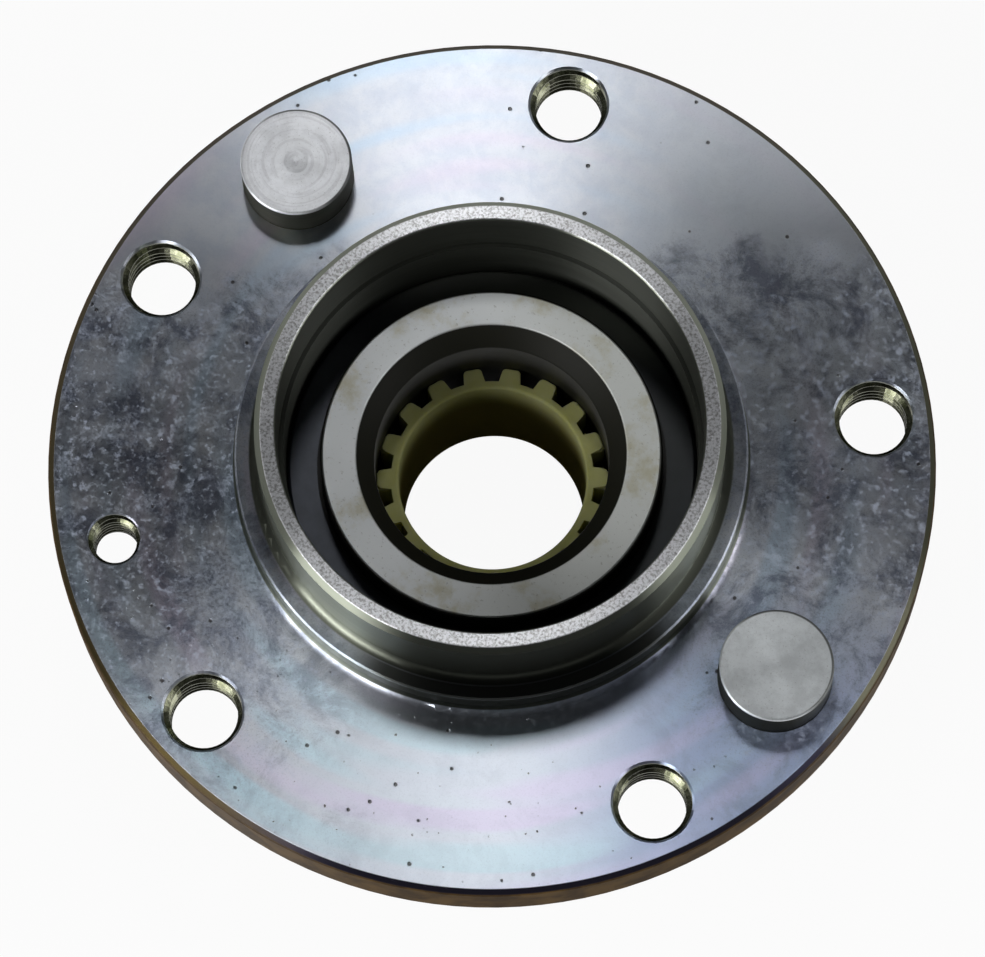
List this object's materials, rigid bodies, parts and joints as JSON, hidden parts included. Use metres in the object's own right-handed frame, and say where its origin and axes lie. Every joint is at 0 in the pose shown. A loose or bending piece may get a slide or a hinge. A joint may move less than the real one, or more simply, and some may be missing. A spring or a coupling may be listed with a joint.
{
  "type": "wheel hub bearing",
  "caption": "Flanged wheel hub bearing with a turning outer ring, stepped centring collar, tapped bolt holes, locating dowels, split inner ring and retaining sleeve.",
  "frame": {"origin": "on the bearing axis, in the plane of the flange's outboard (wheel) face", "axes": "+Z along the bearing axis, away from the vehicle; +Y through one wheel-bolt hole"},
  "size_m": [0.1362, 0.1362, 0.0574],
  "materials": {
    "hub_steel": "turned and polished steel face with light staining, rust on the sawn edge",
    "dowel_steel": "turned steel, satin",
    "ring_steel": "ground bearing steel",
    "ball_steel": "polished bearing steel",
    "cage_nylon": "glass-filled nylon",
    "seal_steel": "pressed sheet steel, oiled",
    "seal_rubber": "nitrile rubber",
    "sleeve_nylon": "natural nylon, slightly translucent, yellow-olive"
  },
  "bodies": {
    "spindle_side": {"inner_ring_outboard": "ring_steel", "inner_ring_inboard": "ring_steel", "retaining_sleeve": "sleeve_nylon", "seal_slinger_inboard": "seal_steel"},
    "hub": {"hub_flange": "hub_steel", "dowel_upper": "dowel_steel", "dowel_lower": "dowel_steel", "seal_case_outboard": "seal_steel", "seal_lip_outboard": "seal_rubber", "seal_case_inboard": "seal_steel", "seal_lip_inboard": "seal_rubber"},
    "outboard_cage_set": {"cage_outboard": "cage_nylon", "ball_outboard_01": "ball_steel", "ball_outboard_02": "ball_steel", "ball_outboard_03": "ball_steel", "ball_outboard_04": "ball_steel", "ball_outboard_05": "ball_steel", "ball_outboard_06": "ball_steel", "ball_outboard_07": "ball_steel", "ball_outboard_08": "ball_steel", "ball_outboard_09": "ball_steel", "ball_outboard_10": "ball_steel", "ball_outboard_11": "ball_steel", "ball_outboard_12": "ball_steel", "ball_outboard_13": "ball_steel", "ball_outboard_14": "ball_steel"},
    "inboard_cage_set": {"cage_inboard": "cage_nylon", "ball_inboard_01": "ball_steel", "ball_inboard_02": "ball_steel", "ball_inboard_03": "ball_steel", "ball_inboard_04": "ball_steel", "ball_inboard_05": "ball_steel", "ball_inboard_06": "ball_steel", "ball_inboard_07": "ball_steel", "ball_inboard_08": "ball_steel", "ball_inboard_09": "ball_steel", "ball_inboard_10": "ball_steel", "ball_inboard_11": "ball_steel", "ball_inboard_12": "ball_steel", "ball_inboard_13": "ball_steel", "ball_inboard_14": "ball_steel"}
  },
  "joints": [
    {"name": "hub_spin", "type": "hinge", "parent": "spindle_side", "child": "hub", "pos_m": [0, 0, 0], "axis": [0, 0, 1], "continuous": true},
    {"name": "outboard_cage_spin", "type": "hinge", "parent": "spindle_side", "child": "outboard_cage_set", "pos_m": [0, 0, -0.0132], "axis": [0, 0, 1], "continuous": true},
    {"name": "inboard_cage_spin", "type": "hinge", "parent": "spindle_side", "child": "inboard_cage_set", "pos_m": [0, 0, -0.0268], "axis": [0, 0, 1], "continuous": true}
  ],
  "couplings": [
    {"joint": "outboard_cage_spin", "follows": "hub_spin", "ratio": 0.56756},
    {"joint": "inboard_cage_spin", "follows": "hub_spin", "ratio": 0.56756}
  ]
}
